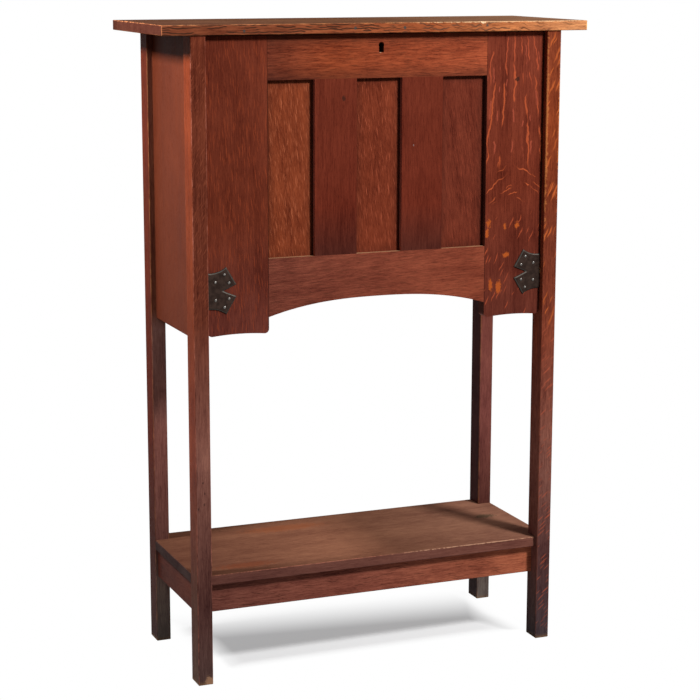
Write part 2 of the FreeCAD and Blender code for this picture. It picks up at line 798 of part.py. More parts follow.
def strike_screws(clearance):
    x = strike_width / 2 - strike_screw_margin
    places = [V(lock_offset + side * x, (bolt_front + bolt_back) / 2, top_under) for side in (-1, 1)]
    size = (lock_screw_head, lock_screw_shank, lock_screw_length)
    return [screw(place, V(0, 0, 1), *size, clearance) for place in places]


def make_strike():
    plate = strike_blank().cut(strike_slot(strike_thickness))
    for tool in strike_screws(screw_clearance):
        plate = plate.cut(tool)
    save("strike_plate", plate)
    save("strike_screws", *strike_screws(0))


make_posts()
make_side_panels()
make_top_board()
make_top_cleats()
make_lower_shelf()
make_stretchers()
make_back()
make_desk_floor()
make_fall_stops()
make_gallery()
make_stiles()
make_top_rail()
make_bottom_rail()
make_muntins()
make_panels()
make_hinge_plates()
make_pivots()
make_lock()
make_strike()
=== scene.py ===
import math
import random

import bpy
from mathutils import Euler, Matrix, Vector


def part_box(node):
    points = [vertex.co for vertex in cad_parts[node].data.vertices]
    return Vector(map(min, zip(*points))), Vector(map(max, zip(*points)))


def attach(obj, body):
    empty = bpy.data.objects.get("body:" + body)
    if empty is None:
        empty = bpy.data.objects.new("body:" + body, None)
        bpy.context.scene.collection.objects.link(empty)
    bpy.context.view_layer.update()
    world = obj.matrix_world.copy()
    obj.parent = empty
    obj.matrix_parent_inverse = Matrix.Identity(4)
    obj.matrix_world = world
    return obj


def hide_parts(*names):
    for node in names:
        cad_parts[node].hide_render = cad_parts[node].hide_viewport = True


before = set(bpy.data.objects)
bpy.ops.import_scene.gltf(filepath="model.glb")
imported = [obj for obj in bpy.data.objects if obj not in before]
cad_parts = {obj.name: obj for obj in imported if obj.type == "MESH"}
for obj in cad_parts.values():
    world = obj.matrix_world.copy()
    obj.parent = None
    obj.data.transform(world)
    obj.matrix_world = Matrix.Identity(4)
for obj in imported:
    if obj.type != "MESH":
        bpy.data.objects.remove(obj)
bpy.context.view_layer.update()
X, Y, Z = 0, 1, 2


# Posts
# Four straight lengths of quarter-sawn oak, fumed and waxed, that run from the floor to the top board.
# Hands have worn their arrises pale, partly painted highlight. The front posts are darker and greyer
# towards the floor, and a lighter, greyer band at knee height is painted sheen.

def wire(tree, kind, sockets=None, **settings):
    """Adds a shader node with its settings, and sets or links its inputs."""
    added = tree.nodes.new(kind)
    for key, value in settings.items():
        setattr(added, key, value)
    for key, value in (sockets or {}).items():
        if isinstance(value, bpy.types.NodeSocket):
            tree.links.new(value, added.inputs[key])
        else:
            added.inputs[key].default_value = value
    return added


def calc(tree, operation, *values):
    return wire(tree, "ShaderNodeMath", dict(enumerate(values)), operation=operation).outputs[0]


def vector_calc(tree, operation, *values):
    return wire(tree, "ShaderNodeVectorMath", dict(enumerate(values)), operation=operation)


def pair(tree, first, second):
    return wire(tree, "ShaderNodeCombineXYZ", {0: first, 1: second}).outputs[0]


def split(tree, vector):
    return wire(tree, "ShaderNodeSeparateXYZ", {0: vector}).outputs


def ease(tree, value, start, end):
    """0 at start and 1 at end, with a smooth passage between them."""
    sockets = {"Value": value, "From Min": start, "From Max": end}
    return wire(tree, "ShaderNodeMapRange", sockets, interpolation_type="SMOOTHSTEP").outputs[0]


def noise(tree, place, scale, detail, output="Fac"):
    sockets = {"Vector": place, "Scale": scale, "Detail": detail, "Roughness": 0.6}
    return wire(tree, "ShaderNodeTexNoise", sockets).outputs[output]


def centred(tree, value):
    """A noise moved down so that it lies evenly about 0."""
    return calc(tree, "SUBTRACT", value, 0.5)


def blend(tree, share, first, second, mode="MIX"):
    factor, first_socket, second_socket, result = 0, 6, 7, 2
    sockets = {factor: share, first_socket: first, second_socket: second}
    return wire(tree, "ShaderNodeMix", sockets, data_type="RGBA", blend_type=mode).outputs[result]


def colour(red, green, blue):
    return (red, green, blue, 1.0)


def tone_along(tree, axis, low, high, tones):
    """Colours set at places along an axis, in metres, with even passages between them."""
    sockets = {"Value": axis, "From Min": low, "From Max": high}
    share = wire(tree, "ShaderNodeMapRange", sockets).outputs[0]
    ramp = wire(tree, "ShaderNodeValToRGB", {0: share})
    stops = ramp.color_ramp.elements
    stops.remove(stops[1])
    for k, (place, tone) in enumerate(tones):
        stop = stops.new((place - low) / (high - low)) if k else stops[0]
        stop.position = (place - low) / (high - low)
        stop.color = tone
    return ramp.outputs[0]


def straight(tree, across, along):
    """Rays that run with the grain."""
    return pair(tree, across, along)


def stroke_mask(tree, ray, across, along, log):
    """Short strokes of the rays that the saw laid open: cells stretched along the grain, each with its
    own length and strength. Length, width and sway are in metres, the slant is in degrees, and the more
    cover there is, the closer the strokes lie."""
    least_reach = 0.45
    solid_core = 0.4
    flat = ray.get("flow", straight)(tree, across, along)
    wobble = noise(tree, pair(tree, across, along), scale=55.0, detail=1.0, output="Color")
    sway = (ray["sway"], ray["sway"], 0.0)
    swayed = vector_calc(tree, "MULTIPLY_ADD", wobble, sway, flat).outputs[0]
    spacing = 0.5 / ray["cover"]
    placing = {"Vector": swayed, "Location": (log + ray["width"], log, 0.0),
               "Rotation": (0.0, 0.0, math.radians(ray["slant"])),
               "Scale": (ray["width"] * spacing, ray["length"] * spacing, 1.0)}
    laid = wire(tree, "ShaderNodeMapping", placing, vector_type="TEXTURE").outputs[0]
    sockets = {"Vector": laid, "Scale": 1.0}
    cells = wire(tree, "ShaderNodeTexVoronoi", sockets, voronoi_dimensions="2D").outputs
    chance = split(tree, cells["Color"])
    reach = calc(tree, "MULTIPLY_ADD", chance[0], ray["cover"], least_reach * ray["cover"])
    mask = ease(tree, cells["Distance"], reach, calc(tree, "MULTIPLY", reach, solid_core))
    half_strength = 0.5 * ray["strength"]
    strength = calc(tree, "MULTIPLY_ADD", chance[1], half_strength, half_strength)
    return calc(tree, "MULTIPLY", mask, strength)


def dress(node, material):
    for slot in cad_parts[node].material_slots:
        slot.material = material


def finish_oak(node, grain, face, tones, lines=1.0, bands=1.0, tilt=0.0, rays=(), spots=(), turned=(),
               ends=colour(0.035, 0.014, 0.01), wear_and_highlight=0.0, wear_and_highlight_tone=colour(0.5, 0.2, 0.07),
               wear_and_highlight_width=0.003, border_shade=0.0, seam=0.0, sheen=0.008):
    """Gives one board its own oak. The grain runs along one axis and the wide face looks along another.
    Tones are set at places along the grain, in metres, and faces that are turned another way can have
    tones of their own. Rays are the figure on the wide face. A spot is a knot, hole or stain, with its
    centre, radii, tone and strength. Lines, bands, the arris wear, the border shade and sheen are
    strengths, the seam and the width of the arris wear are in metres, and the grain's tilt is in degrees.
    The border shade is painted shade, and the pale arrises are partly wear and partly painted highlight."""
    low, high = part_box(node)
    across = X + Y + Z - grain - face
    material = bpy.data.materials.new("oak_" + node)
    material.use_nodes = True
    tree = material.node_tree
    shader = tree.nodes["Principled BSDF"]
    coords = wire(tree, "ShaderNodeTexCoord").outputs
    place = coords["Object"]
    axes = split(tree, place)
    facing = split(tree, coords["Normal"])
    sockets = {0: axes[across], 1: axes[face], 2: axes[grain]}
    board = wire(tree, "ShaderNodeCombineXYZ", sockets).outputs[0]

    # Each board is cut from another log, so its grain starts somewhere else
    log_stride = Vector((71.0, 43.0, 29.0))
    log = low.dot(log_stride)

    def grain_noise(width, length, detail):
        """Noise drawn out along the grain, with marks about so wide and so long."""
        placing = {"Vector": board, "Location": (log, log, log),
                   "Rotation": (0.0, math.radians(tilt), 0.0), "Scale": (width, width, length)}
        laid = wire(tree, "ShaderNodeMapping", placing, vector_type="TEXTURE").outputs[0]
        return noise(tree, laid, scale=1.0, detail=detail)

    fine = grain_noise(width=0.0018, length=0.028, detail=3.0)
    broad = grain_noise(width=0.026, length=0.35, detail=3.0)
    pores = ease(tree, grain_noise(width=0.0011, length=0.007, detail=1.0), 0.54, 0.66)
    own_place = vector_calc(tree, "ADD", place, (log, log, log)).outputs[0]
    patch = noise(tree, own_place, scale=11.0, detail=3.0)

    # Tone along the board and on its ends
    tone = tone_along(tree, axes[grain], low[grain], high[grain], tones)
    for direction, turned_tones in turned:
        towards = vector_calc(tree, "DOT_PRODUCT", coords["Normal"], direction).outputs["Value"]
        turned_tone = tone_along(tree, axes[grain], low[grain], high[grain], turned_tones)
        tone = blend(tree, ease(tree, towards, 0.5, 0.9), tone, turned_tone)
    end_cover = 0.85
    end_grain = ease(tree, calc(tree, "ABSOLUTE", facing[grain]), 0.6, 0.9)
    tone = blend(tree, calc(tree, "MULTIPLY", end_grain, end_cover), tone, ends)

    # Lines of early and late wood, bands, patches and pores, redder where they are darker
    line_contrast = 2.4 * lines
    band_contrast = 1.1 * bands
    patch_contrast = 0.8 * bands
    pore_contrast = -0.35 * lines
    darkest = 0.2
    green_fall = 1.2
    blue_fall = 1.1
    light = calc(tree, "MULTIPLY_ADD", centred(tree, fine), line_contrast, 1.0)
    light = calc(tree, "MULTIPLY_ADD", centred(tree, broad), band_contrast, light)
    light = calc(tree, "MULTIPLY_ADD", centred(tree, patch), patch_contrast, light)
    light = calc(tree, "MULTIPLY_ADD", pores, pore_contrast, light)
    light = calc(tree, "MAXIMUM", light, darkest)
    green = calc(tree, "POWER", light, green_fall)
    blue = calc(tree, "POWER", light, blue_fall)
    shade = wire(tree, "ShaderNodeCombineXYZ", {0: light, 1: green, 2: blue}).outputs[0]
    base = blend(tree, 1.0, tone, shade, "MULTIPLY")

    # Figure on the wide face, then spots with frayed edges
    flat_face = ease(tree, calc(tree, "ABSOLUTE", facing[face]), 0.6, 0.8)
    for ray in rays:
        mask = ray.get("mask", stroke_mask)(tree, ray, axes[across], axes[grain], log)
        if "span" in ray:
            start, end, fade = ray["span"]
            mask = calc(tree, "MULTIPLY", mask, ease(tree, axes[grain], start - fade, start + fade))
            mask = calc(tree, "MULTIPLY", mask, ease(tree, axes[grain], end + fade, end - fade))
        base = blend(tree, calc(tree, "MULTIPLY", mask, flat_face), base, ray["tone"])
    rub = noise(tree, place, scale=70.0, detail=4.0)
    fray = noise(tree, place, scale=190.0, detail=3.0)
    fray_depth = 2.2
    for centre, radii, spot_tone, strength in spots:
        apart = vector_calc(tree, "SUBTRACT", place, centre).outputs[0]
        apart = vector_calc(tree, "DIVIDE", apart, radii).outputs[0]
        apart = vector_calc(tree, "LENGTH", apart).outputs["Value"]
        apart = calc(tree, "MULTIPLY_ADD", centred(tree, fray), fray_depth, apart)
        mask = calc(tree, "MULTIPLY", ease(tree, apart, 1.0, 0.5), strength)
        base = blend(tree, mask, base, spot_tone)

    # Painted shade along the borders, dark joints in the seams, and arrises rubbed through to pale wood,
    # partly painted highlight
    inward = vector_calc(tree, "SUBTRACT", place, low).outputs[0]
    outward = vector_calc(tree, "SUBTRACT", high, place).outputs[0]
    gaps = split(tree, vector_calc(tree, "MINIMUM", inward, outward).outputs[0])
    # Painted shade: the board darkens towards its borders, where recesses and overhangs shade it
    if border_shade:
        border_shade_tone = colour(0.035, 0.012, 0.009)
        shade_start, shade_full, shade_waver = 0.034, 0.006, 0.012
        border = calc(tree, "MINIMUM", gaps[across], gaps[grain])
        border = calc(tree, "MULTIPLY_ADD", rub, shade_waver, border)
        dark = calc(tree, "MULTIPLY", ease(tree, border, shade_start, shade_full), border_shade)
        base = blend(tree, dark, base, border_shade_tone)
    if seam:
        seam_tone = colour(0.02, 0.007, 0.005)
        seam_cover = 0.75
        dark = calc(tree, "MULTIPLY", ease(tree, gaps[across], seam, seam * 0.3), seam_cover)
        base = blend(tree, dark, base, seam_tone)
    # Pale arrises, partly wear rubbed through the finish and partly painted highlight
    if wear_and_highlight:
        wear_and_highlight_waver = 2.5 * wear_and_highlight_width
        second_gap = calc(tree, "MINIMUM", calc(tree, "MAXIMUM", gaps[X], gaps[Y]), gaps[Z])
        arris = calc(tree, "MAXIMUM", calc(tree, "MINIMUM", gaps[X], gaps[Y]), second_gap)
        ragged = calc(tree, "MULTIPLY_ADD", calc(tree, "SUBTRACT", rub, 0.45), wear_and_highlight_waver, arris)
        bare_and_highlit = calc(tree, "MULTIPLY", ease(tree, ragged, wear_and_highlight_width, 0.0), wear_and_highlight)
        bare_and_highlit = calc(tree, "MULTIPLY", bare_and_highlit, ease(tree, patch, 0.3, 0.6))
        base = blend(tree, bare_and_highlit, base, wear_and_highlight_tone)

    # Wax: a low gloss that dulls in the pores, over grain that can be felt
    wax_roughness = 0.35
    band_roughness = 0.2
    pore_roughness = 0.15
    pore_height = -0.6
    tree.links.new(base, shader.inputs["Base Color"])
    rough = calc(tree, "MULTIPLY_ADD", broad, band_roughness, wax_roughness)
    rough = calc(tree, "MULTIPLY_ADD", pores, pore_roughness, rough)
    tree.links.new(rough, shader.inputs["Roughness"])
    shader.inputs["Specular IOR Level"].default_value = sheen
    height = calc(tree, "MULTIPLY_ADD", pores, pore_height, fine)
    bump = wire(tree, "ShaderNodeBump", {"Height": height, "Strength": 0.25, "Distance": 0.0006})
    tree.links.new(bump.outputs[0], shader.inputs["Normal"])
    dress(node, material)


leftward = (-1.0, 0.0, 0.0)
post_front = -0.15
foot_tone = (0.0, colour(0.24, 0.13, 0.06))

left_fleck = dict(length=0.014, width=0.0018, cover=0.26, slant=-26, sway=0.004, strength=0.5,
                  tone=colour(0.28, 0.07, 0.033), span=(0.64, 1.2, 0.05))
# Painted sheen: the lighter, greyer tone about 0.42 m up
left_post_tones = [foot_tone, (0.006, colour(0.078, 0.04, 0.035)), (0.17, colour(0.09, 0.034, 0.0275)),
                   (0.42, colour(0.23, 0.09, 0.066)), (0.68, colour(0.137, 0.033, 0.018)),
                   (1.18, colour(0.147, 0.031, 0.015))]
left_post_side = [foot_tone, (0.006, colour(0.097, 0.049, 0.036)), (0.17, colour(0.1, 0.036, 0.023)),
                  (0.42, colour(0.196, 0.044, 0.0235)), (0.68, colour(0.131, 0.025, 0.0092)),
                  (1.18, colour(0.14, 0.0247, 0.0076))]
chipped_foot = ((-0.338, post_front, 0.006), (0.011, 0.006, 0.012), colour(0.5, 0.27, 0.15), 0.6)
dent_places = [(-0.348, 0.385), (-0.345, 0.364), (-0.346, 0.344), (-0.357, 0.336)]
dent_radii = (0.002, 0.004, 0.003)
dent_tone = colour(0.04, 0.02, 0.016)
post_dents = [((x, post_front, z), dent_radii, dent_tone, 0.65) for x, z in dent_places]
finish_oak("front_post_left", Z, Y, left_post_tones, lines=0.6, rays=[left_fleck],
           spots=[chipped_foot] + post_dents, turned=[(leftward, left_post_side)],
           wear_and_highlight=0.6, wear_and_highlight_tone=colour(0.45, 0.15, 0.1), wear_and_highlight_width=0.002)

high_fleck = dict(length=0.034, width=0.0042, cover=0.24, slant=-24, sway=0.006, strength=0.85,
                  tone=colour(0.49, 0.108, 0.027), span=(0.62, 1.2, 0.05))
low_fleck = dict(length=0.022, width=0.0026, cover=0.24, slant=-50, sway=0.003, strength=0.75,
                 tone=colour(0.42, 0.09, 0.045), span=(0.02, 0.62, 0.05))
# Painted sheen: the lighter, greyer tone about 0.38 m up
right_post_tones = [foot_tone, (0.006, colour(0.063, 0.043, 0.046)), (0.17, colour(0.095, 0.04, 0.036)),
                    (0.38, colour(0.21, 0.077, 0.055)), (0.6, colour(0.2, 0.045, 0.023)),
                    (0.8, colour(0.14, 0.029, 0.014)), (1.0, colour(0.19, 0.035, 0.011)),
                    (1.18, colour(0.18, 0.038, 0.016))]
# Painted light: the inner face, shaded under the case and beside the fall front, is set lighter than the
# front
right_post_side = [foot_tone, (0.006, colour(0.08, 0.055, 0.055)), (0.38, colour(0.36, 0.12, 0.078)),
                   (0.6, colour(0.35, 0.072, 0.033)), (1.18, colour(0.22, 0.044, 0.019))]
rubbed_inside = ((0.333, post_front, 1.0), (0.0055, 0.004, 0.2), colour(0.52, 0.18, 0.05), 0.5)
rubbed_outside = ((0.361, post_front, 1.02), (0.003, 0.004, 0.13), colour(0.62, 0.2, 0.05), 0.65)
finish_oak("front_post_right", Z, Y, right_post_tones, lines=0.7, rays=[high_fleck, low_fleck],
           spots=[rubbed_inside, rubbed_outside], turned=[(leftward, right_post_side)],
           wear_and_highlight=0.5, wear_and_highlight_tone=colour(0.3, 0.075, 0.04), wear_and_highlight_width=0.0025)

# Painted light: pale grey feet in the shade under the shelf, and a pale grey painted reflection at 0.62 m
rear_left_tones = [foot_tone, (0.006, colour(0.16, 0.12, 0.1)), (0.12, colour(0.2, 0.125, 0.1)),
                   (0.2, colour(0.126, 0.05, 0.04)), (0.4, colour(0.22, 0.081, 0.062)),
                   (0.62, colour(0.27, 0.124, 0.099)), (0.66, colour(0.15, 0.05, 0.028)),
                   (1.18, colour(0.155, 0.05, 0.03))]
rear_left_side = [foot_tone, (0.006, colour(0.052, 0.025, 0.022)), (0.2, colour(0.068, 0.017, 0.011)),
                  (0.4, colour(0.1, 0.0145, 0.0066)), (0.62, colour(0.086, 0.0125, 0.005)),
                  (1.18, colour(0.085, 0.0127, 0.0044))]
finish_oak("rear_post_left", Z, Y, rear_left_tones, lines=0.5, turned=[(leftward, rear_left_side)],
           wear_and_highlight=0.3)

# Painted light: pale grey feet in the shade under the shelf
rear_right_tones = [foot_tone, (0.006, colour(0.16, 0.13, 0.11)), (0.12, colour(0.18, 0.12, 0.1)),
                    (0.2, colour(0.11, 0.037, 0.028)), (0.4, colour(0.205, 0.0625, 0.05)),
                    (0.62, colour(0.16, 0.0445, 0.033)), (1.18, colour(0.15, 0.035, 0.016))]
# Painted shade: the inner face under the case is set much darker than the front
rear_right_side = [foot_tone, (0.006, colour(0.1, 0.066, 0.062)), (0.12, colour(0.12, 0.07, 0.062)),
                   (0.2, colour(0.1, 0.034, 0.03)), (0.4, colour(0.095, 0.03, 0.028)),
                   (0.62, colour(0.08, 0.024, 0.021)), (1.18, colour(0.07, 0.018, 0.011))]
finish_oak("rear_post_right", Z, Y, rear_right_tones, lines=0.5, turned=[(leftward, rear_right_side)],
           wear_and_highlight=0.3)


# Side panels
# Wide oak boards with upright grain, tongued into the posts and set back from their outer faces.
# The finish here is smooth, dark and red.
side_tones = [(0.65, colour(0.1, 0.022, 0.0102)), (1.18, colour(0.083, 0.0176, 0.0075))]
for side in ("left", "right"):
    finish_oak("side_panel_" + side, Z, X, side_tones, lines=0.3, bands=0.5)


# Back
# Two oak rails tenoned between the rear posts, and five upright boards between the rails.
# The boards are tongued together with a vee at each joint, and left plainer than the front.
back_rail_tones = [(0.0, colour(0.17, 0.055, 0.026))]
for node in ("back_top_rail", "back_bottom_rail"):
    finish_oak(node, X, Y, back_rail_tones, seam=0.001)
for k in range(1, 6):
    back_tones = [(0.9, colour(0.18 + 0.012 * (k % 3), 0.06, 0.028))]
    finish_oak("back_board_%d" % k, Z, Y, back_tones, tilt=0.6 * (k - 3), seam=0.0015)


# Desk floor, stop strips and cleats
# Thin oak boards inside the case: the floor is housed in the sides, the strips stop the fall front, and
# the cleats hold the top board with screws from below. Inside, the stain is lighter and the wood cleaner.
inside_tones = [(0.0, colour(0.31, 0.113, 0.044))]
finish_oak("desk_floor", X, Z, inside_tones)
for side in ("left", "right"):
    finish_oak("fall_stop_" + side, Z, Y, inside_tones)
    finish_oak("top_cleat_" + side, Y, Z, inside_tones)


# Pigeonhole gallery
# A long shelf housed in the sides, carried by four dividers with hollowed front edges, and a small shelf
# in the middle hole. All are thin oak, planed and lightly stained.
finish_oak("gallery_shelf", X, Z, inside_tones)
finish_oak("gallery_middle_shelf", X, Z, inside_tones)
for place in ("outer", "inner"):
    for side in ("left", "right"):
        finish_oak("gallery_divider_%s_%s" % (place, side), Z, X, inside_tones)


# Lower shelf and stretchers
# One oak board notched round the posts, its top darker to the left and lighter to the right, over four
# stretchers that are tenoned into the posts.
upward = (0.0, 0.0, 1.0)
shelf_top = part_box("lower_shelf")[1].z
shelf_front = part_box("lower_shelf")[0].y
shelf_tones = [(-0.33, colour(0.134, 0.05, 0.038)), (0.33, colour(0.18, 0.0665, 0.0475))]
shelf_top_tones = [(-0.33, colour(0.104, 0.041, 0.024)), (0.0, colour(0.17, 0.07, 0.04)),
                (0.33, colour(0.285, 0.127, 0.08))]
# A dark patch on the shelf's top, near the right rear post
shelf_dark_patch = ((0.305, 0.028, shelf_top), (0.028, 0.014, 0.01), colour(0.06, 0.05, 0.03), 0.7)
wax_patch = ((-0.1, 0.1, shelf_top), (0.1, 0.025, 0.01), colour(0.2, 0.058, 0.022), 0.5)
front_patch = ((-0.25, -0.101, shelf_top), (0.07, 0.02, 0.01), colour(0.13, 0.032, 0.013), 0.5)
bare_arris = ((0.22, shelf_front, shelf_top), (0.2, 0.0018, 0.0016), colour(0.56, 0.31, 0.19), 0.75)
dull_arris = ((-0.16, shelf_front, shelf_top), (0.24, 0.0018, 0.0015), colour(0.34, 0.12, 0.075), 0.7)
finish_oak("lower_shelf", X, Z, shelf_tones, lines=0.45, bands=0.7, turned=[(upward, shelf_top_tones)],
           spots=[shelf_dark_patch, wax_patch, front_patch, bare_arris, dull_arris],
           ends=colour(0.06, 0.043, 0.041), sheen=0.0)
front_stretcher_tones = [(-0.33, colour(0.174, 0.057, 0.041)), (0.0, colour(0.26, 0.0755, 0.0475)),
                         (0.33, colour(0.4, 0.112, 0.056))]
rear_stretcher_tones = [(0.0, colour(0.16, 0.05, 0.03))]
side_stretcher_tones = [(0.0, colour(0.101, 0.026, 0.0165))]
dark_check = dict(length=0.028, width=0.0014, cover=0.19, slant=3, sway=0.008, strength=0.8,
                  tone=colour(0.05, 0.017, 0.011))
finish_oak("front_stretcher", X, Y, front_stretcher_tones, lines=0.6, rays=[dark_check])
finish_oak("rear_stretcher", X, Y, rear_stretcher_tones)
for side in ("left", "right"):
    finish_oak("side_stretcher_" + side, Y, X, side_stretcher_tones, lines=0.5)


# Top board
# One wide flat-sawn oak board, doweled to the posts and screwed through the cleats. Its upper face is
# greyish brown, the grey partly painted reflection, its front edge is orange with dark pores and old
# nail holes, and its arrises are rubbed bare, partly painted highlight.

def chain_mask(tree, ray, across, along, log):
    """Long rays that run side by side down the board, wander a little, break off and start again. They
    lie a spacing apart, in metres, and the higher the rest, the more of each lane stays plain."""
    lane_stride = 7.3
    swell_fade = 0.07
    flat = split(tree, ray.get("flow", straight)(tree, across, along))
    wander = noise(tree, pair(tree, across, along), scale=28.0, detail=2.0)
    lane = calc(tree, "DIVIDE", flat[0], ray["spacing"])
    lane = calc(tree, "MULTIPLY_ADD", wander, ray["sway"] / ray["spacing"], lane)
    off = calc(tree, "ABSOLUTE", centred(tree, calc(tree, "FRACT", lane)))
    lane_start = calc(tree, "MULTIPLY_ADD", calc(tree, "FLOOR", lane), lane_stride, log)
    down_lane = calc(tree, "DIVIDE", flat[1], ray["length"])
    run = noise(tree, pair(tree, lane_start, down_lane), scale=1.0, detail=1.0)
    swell = ease(tree, run, ray["rest"], ray["rest"] + swell_fade)
    half_width = 0.5 * ray["width"] / ray["spacing"]
    margin = calc(tree, "MULTIPLY_ADD", swell, half_width, calc(tree, "MULTIPLY", off, -1.0))
    mask = ease(tree, margin, -0.25 * half_width, 0.35 * half_width)
    return calc(tree, "MULTIPLY", mask, calc(tree, "MULTIPLY", swell, ray["strength"]))


top_tones = [(-0.41, colour(0.225, 0.062, 0.028)), (-0.2, colour(0.235, 0.064, 0.027)),
             (0.1, colour(0.28, 0.069, 0.024)), (0.26, colour(0.5, 0.17, 0.06)),
             (0.41, colour(0.545, 0.226, 0.092))]
# The upper face has no sheen, so its grey is partly painted reflection; it is lighter to the right
top_face_tones = [(-0.41, colour(0.058, 0.0252, 0.015)), (0.0, colour(0.1, 0.0423, 0.0216)),
                  (0.41, colour(0.225, 0.115, 0.064))]
top_low, top_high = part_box("top_board")
coarse_pore = dict(length=0.034, width=0.0024, cover=0.27, slant=10, sway=0.012, strength=0.9,
                   tone=colour(0.045, 0.019, 0.012), span=(-0.2, 0.6, 0.1))
dark_streak = dict(mask=chain_mask, length=0.05, width=0.0021, spacing=0.0042, rest=0.43, sway=0.009,
                   strength=0.9, tone=colour(0.042, 0.019, 0.012), span=(-0.6, 0.05, 0.1))
dark_flame = dict(mask=chain_mask, length=0.05, width=0.0026, spacing=0.0064, rest=0.49, sway=0.024,
                  strength=0.8, tone=colour(0.09, 0.04, 0.025), span=(0.0, 0.35, 0.07))
hole_heights = {-0.263: 0.0067, -0.054: 0.0091, 0.042: 0.0089, 0.206: 0.0114}
hole_radii = (0.0035, 0.004, 0.003)
hole_tone = colour(0.05, 0.055, 0.05)
old_holes = [((x, top_low.y, top_low.z + height), hole_radii, hole_tone, 0.85)
             for x, height in hole_heights.items()]
chipped_edge = ((0.196, top_low.y, top_high.z), (0.007, 0.01, 0.004), colour(0.8, 0.58, 0.36), 0.9)
cream_arris = ((0.27, top_low.y, top_high.z), (0.24, 0.0024, 0.0018), colour(0.8, 0.5, 0.27), 0.65)
golden_end = ((0.413, top_low.y, 1.19), (0.0035, 0.004, 0.012), colour(0.75, 0.4, 0.12), 0.8)
finish_oak("top_board", X, Y, top_tones, lines=0.55, tilt=1.0, turned=[(upward, top_face_tones)],
           rays=[coarse_pore, dark_streak, dark_flame],
           spots=old_holes + [chipped_edge, cream_arris, golden_end],
           ends=colour(0.0325, 0.0116, 0.0095), wear_and_highlight=0.75, wear_and_highlight_tone=colour(0.5, 0.19, 0.07),
           wear_and_highlight_width=0.0018, sheen=0.0)
finish_oak("top_dowels", Z, Y, inside_tones)


# Fall front
# A framed door: two wide stiles, two rails and two muntins tenoned together, with three thin panels in
# grooves. The stiles are quarter-sawn with the rays laid open, strongest on the right one, where they fan
# out and arch.

def fan(heart, top, rate):
    """Rays that spread from the heart line as they go down from a height."""
    def flow(tree, across, along):
        widening = calc(tree, "MULTIPLY_ADD", calc(tree, "SUBTRACT", top, along), rate, 1.0)
        return pair(tree, calc(tree, "DIVIDE", calc(tree, "SUBTRACT", across, heart), widening), along)
    return flow


def arch(heart, fall):
    """Rays that lie across the board and drop away on both sides of the heart line."""
    def flow(tree, across, along):
        off = calc(tree, "ABSOLUTE", calc(tree, "SUBTRACT", across, heart))
        dropped = calc(tree, "MULTIPLY_ADD", calc(tree, "POWER", off, 1.5), fall, along)
        return pair(tree, dropped, across)
    return flow


stile_seam = 0.0016
left_stile_ray = dict(length=0.024, width=0.0018, cover=0.27, slant=4, sway=0.005, strength=0.7,
                      tone=colour(0.27, 0.05, 0.019))
left_stile_tones = [(0.65, colour(0.132, 0.032, 0.022)), (0.85, colour(0.13, 0.025, 0.012)),
                    (1.18, colour(0.142, 0.028, 0.014))]
finish_oak("fall_stile_left", Z, Y, left_stile_tones, lines=0.45, bands=0.9, rays=[left_stile_ray],
           seam=stile_seam)

ray_orange = colour(0.5, 0.1, 0.033)
ray_pink = colour(0.38, 0.075, 0.04)
ray_red = colour(0.43, 0.08, 0.032)
stile_fan = fan(heart=0.271, top=1.2, rate=3.4)
stile_arch = arch(heart=0.275, fall=2.4)
stile_top = dict(mask=chain_mask, length=0.06, width=0.002, spacing=0.0125, rest=0.43, sway=0.012,
                 strength=0.65, tone=ray_red, span=(1.09, 1.172, 0.015), flow=stile_fan)
stile_high = dict(mask=chain_mask, length=0.095, width=0.0022, spacing=0.0155, rest=0.45, sway=0.012,
                  strength=0.7, tone=colour(0.46, 0.088, 0.03), span=(0.935, 1.12, 0.015),
                  flow=stile_fan)
stile_faint = dict(mask=chain_mask, length=0.04, width=0.0016, spacing=0.0105, rest=0.53, sway=0.011,
                   strength=0.6, tone=ray_pink, span=(0.955, 1.172, 0.01), flow=stile_fan)
stile_middle = dict(length=0.026, width=0.003, cover=0.17, slant=0, sway=0.018, strength=0.9,
                    tone=ray_orange, span=(0.868, 0.93, 0.01), flow=stile_arch)
stile_low = dict(length=0.021, width=0.0022, cover=0.13, slant=-24, sway=0.008, strength=0.85,
                 tone=ray_red, span=(0.6, 0.84, 0.01))
right_stile_tones = [(0.65, colour(0.108, 0.0245, 0.0158)), (0.9, colour(0.148, 0.027, 0.013)),
                     (1.18, colour(0.165, 0.033, 0.017))]
# Painted light: the side walls of the recesses, which face left into shade, are set pale
wall_painted_light_tones = [(0.9, colour(0.4, 0.12, 0.08))]
fall_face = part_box("fall_stile_right")[0].y
blob_places_and_sizes = [(0.2286, 0.7085, 0.0045, 0.015), (0.2448, 0.705, 0.0065, 0.015),
                         (0.2597, 0.765, 0.008, 0.006), (0.2814, 0.8208, 0.0055, 0.008),
                         (0.2566, 0.8184, 0.0035, 0.007), (0.2226, 0.8261, 0.006, 0.009),
                         (0.2198, 0.806, 0.0045, 0.011)]
blob_tone = colour(0.46, 0.095, 0.017)
ray_blobs = [((x, fall_face, z), (half_width, 0.01, half_height), blob_tone, 0.8)
             for x, z, half_width, half_height in blob_places_and_sizes]
pin_knot = ((0.278, fall_face, 1.0935), (0.005, 0.01, 0.006), colour(0.03, 0.014, 0.01), 0.85)
finish_oak("fall_stile_right", Z, Y, right_stile_tones, lines=0.5, turned=[(leftward, wall_painted_light_tones)],
           rays=[stile_faint, stile_top, stile_high, stile_middle, stile_low],
           spots=ray_blobs + [pin_knot], seam=stile_seam)

